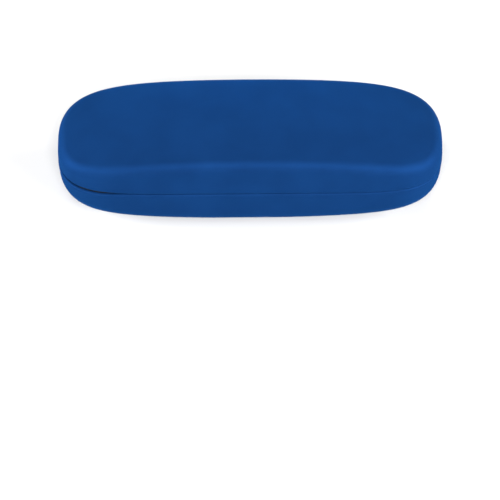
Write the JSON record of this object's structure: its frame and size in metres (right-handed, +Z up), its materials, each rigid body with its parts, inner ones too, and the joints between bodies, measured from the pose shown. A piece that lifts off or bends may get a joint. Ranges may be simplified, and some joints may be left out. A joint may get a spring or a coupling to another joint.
{
  "type": "eyeglasses case",
  "caption": "Hard clamshell eyeglasses case: steel shells in soft-touch covers, flocked liners and a knuckled snap hinge along the back that lets the lid swing open.",
  "frame": {"origin": "on the underside, below the middle of the closed case", "axes": "+X along the case, -Y towards the opening front, +Y towards the hinge, +Z up through the lid"},
  "size_m": [0.1598, 0.0526, 0.0396],
  "materials": {
    "soft_touch_cover": "royal blue soft-touch polyurethane, matte with a low sheen",
    "pressed_steel": "plain pressed sheet",
    "foam": "thin open-cell foam",
    "flock": "short black flock",
    "bronzed_steel": "dark bronze plating, worn lighter on the knuckles",
    "spring_steel": "plain",
    "rivet_steel": "plain"
  },
  "bodies": {
    "base": {"base_cover": "soft_touch_cover", "base_shell": "pressed_steel", "base_foam_pad": "foam", "base_liner": "flock", "base_hinge_leaf": "bronzed_steel", "base_rivet_1": "rivet_steel", "base_rivet_2": "rivet_steel", "base_rivet_3": "rivet_steel", "base_rivet_4": "rivet_steel", "hinge_pin": "spring_steel", "snap_spring_left": "spring_steel", "snap_spring_right": "spring_steel"},
    "lid": {"lid_cover": "soft_touch_cover", "lid_shell": "pressed_steel", "lid_foam_pad": "foam", "lid_liner": "flock", "lid_hinge_leaf": "bronzed_steel", "lid_rivet_1": "rivet_steel", "lid_rivet_2": "rivet_steel", "lid_rivet_3": "rivet_steel", "lid_rivet_4": "rivet_steel"}
  },
  "joints": [
    {"name": "lid_hinge", "type": "hinge", "parent": "base", "child": "lid", "pos_m": [0, 0.0255, 0.0208], "axis": [-1, 0, 0], "range_deg": [0, 105]}
  ]
}
